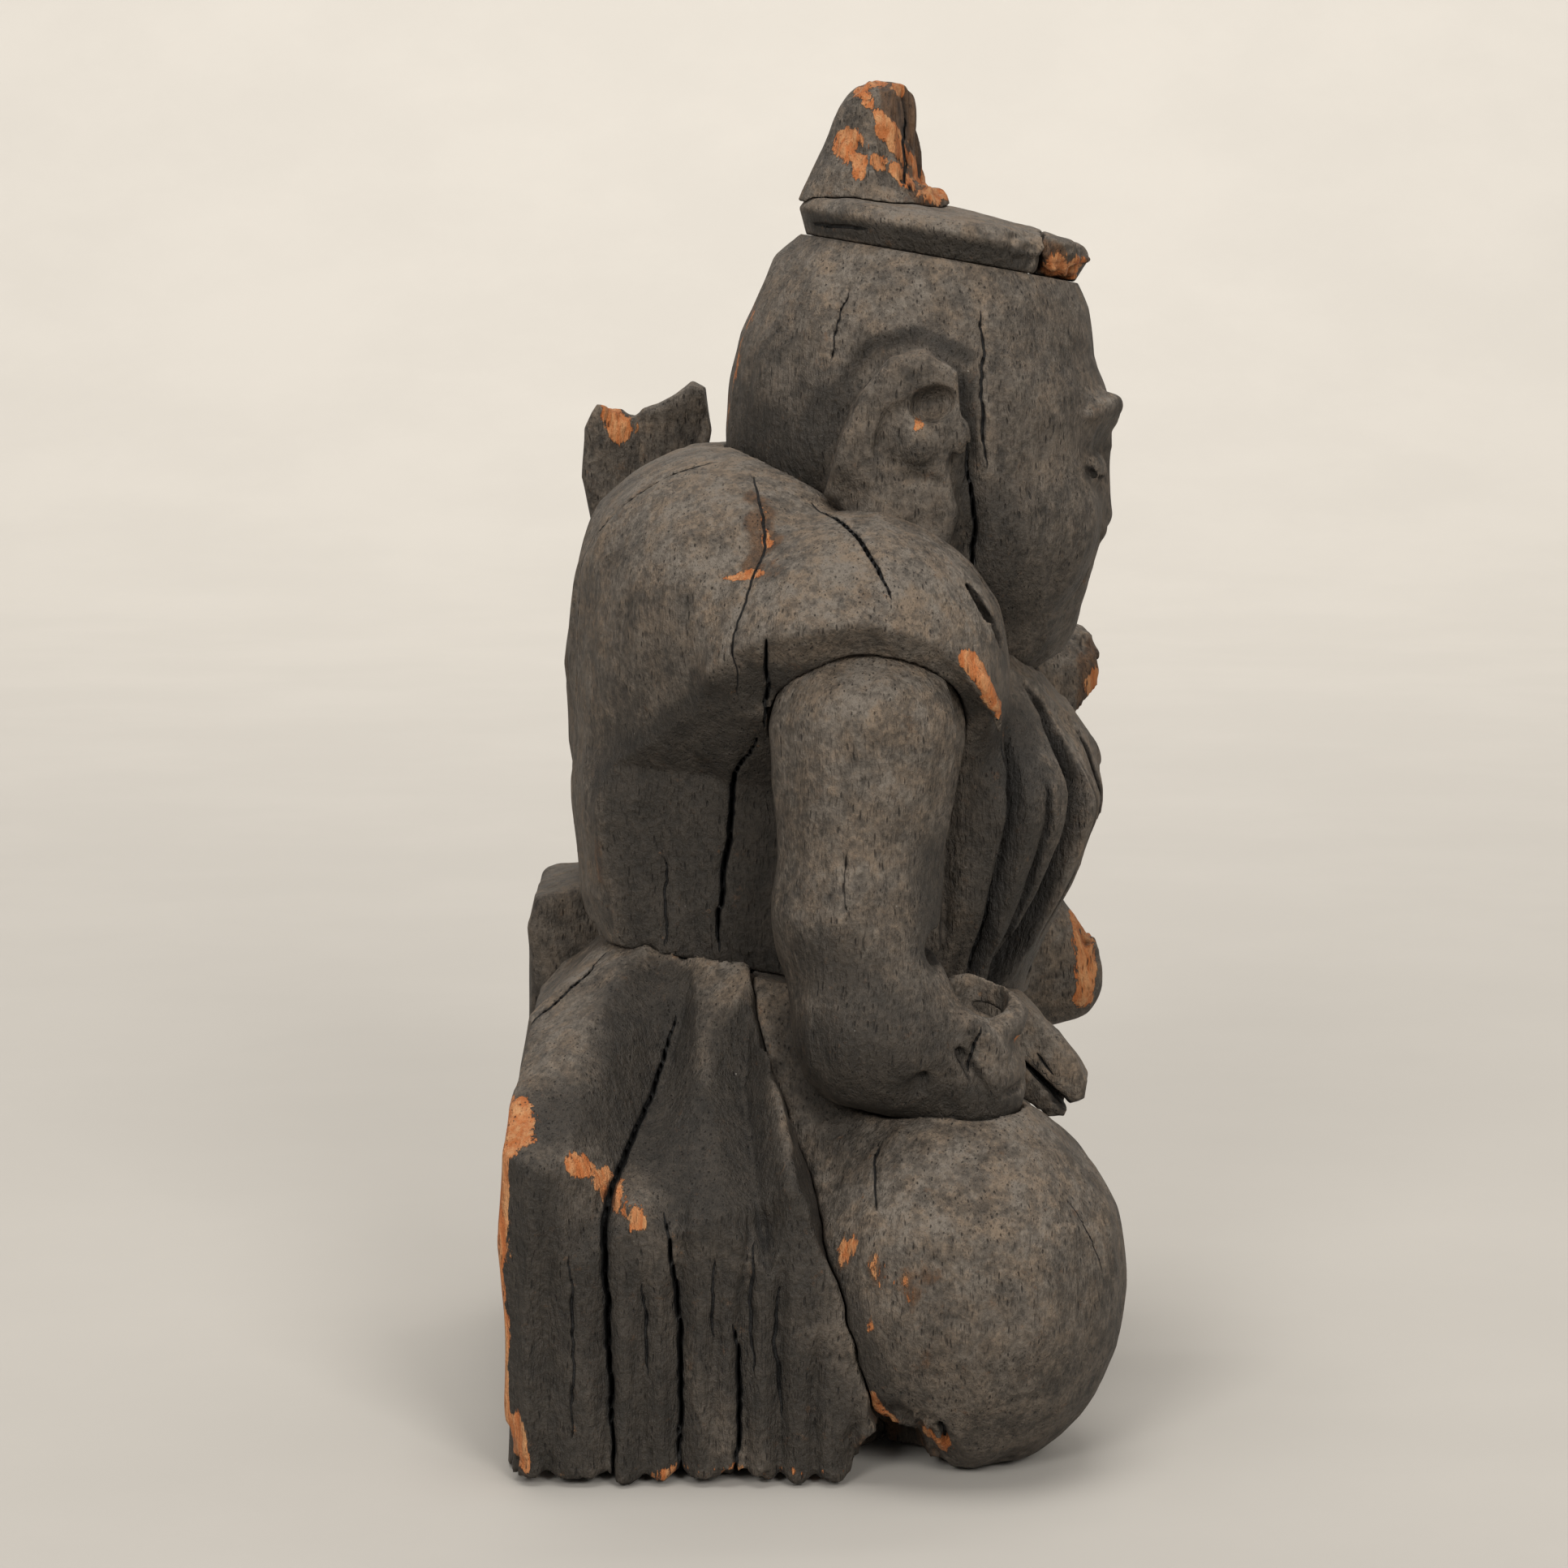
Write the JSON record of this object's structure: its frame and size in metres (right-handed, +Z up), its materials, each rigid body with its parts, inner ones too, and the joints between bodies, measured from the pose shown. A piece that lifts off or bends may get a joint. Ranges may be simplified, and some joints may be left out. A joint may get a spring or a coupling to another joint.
{
  "type": "seated wooden figure",
  "caption": "Weathered, soot-dark carved wood figure, seated cross-legged in a broken tall cap, with a fish under its left arm and its right fist pierced for a thin rod.",
  "frame": {"origin": "middle of the figure's footprint, on the plane it stands on", "axes": "+X the way the figure faces, +Y the figure's left side, +Z up"},
  "size_m": [0.08, 0.12, 0.175],
  "materials": {
    "dark_wood": "dusty matte soot",
    "cap_wood": "dusty matte soot, broken edges",
    "rotten_wood": "crumbling",
    "fish_wood": "dusty matte soot",
    "peg_wood": "plain whittled"
  },
  "bodies": {
    "root": {"trunk": "dark_wood", "head": "dark_wood", "cap_brim": "cap_wood", "cap_brim_chip": "rotten_wood", "cap_crown": "cap_wood", "right_arm": "dark_wood", "left_arm": "dark_wood", "fish": "fish_wood", "sash_end": "dark_wood", "knee_block": "dark_wood", "rear_block_right": "dark_wood", "rear_block_left": "dark_wood", "cap_peg": "peg_wood", "neck_peg": "peg_wood", "right_arm_peg": "peg_wood", "left_arm_peg": "peg_wood", "fish_peg": "peg_wood", "right_waist_peg": "peg_wood", "left_waist_peg": "peg_wood", "right_knee_peg": "peg_wood", "left_knee_peg": "peg_wood", "rear_peg": "peg_wood"}
  },
  "joints": []
}
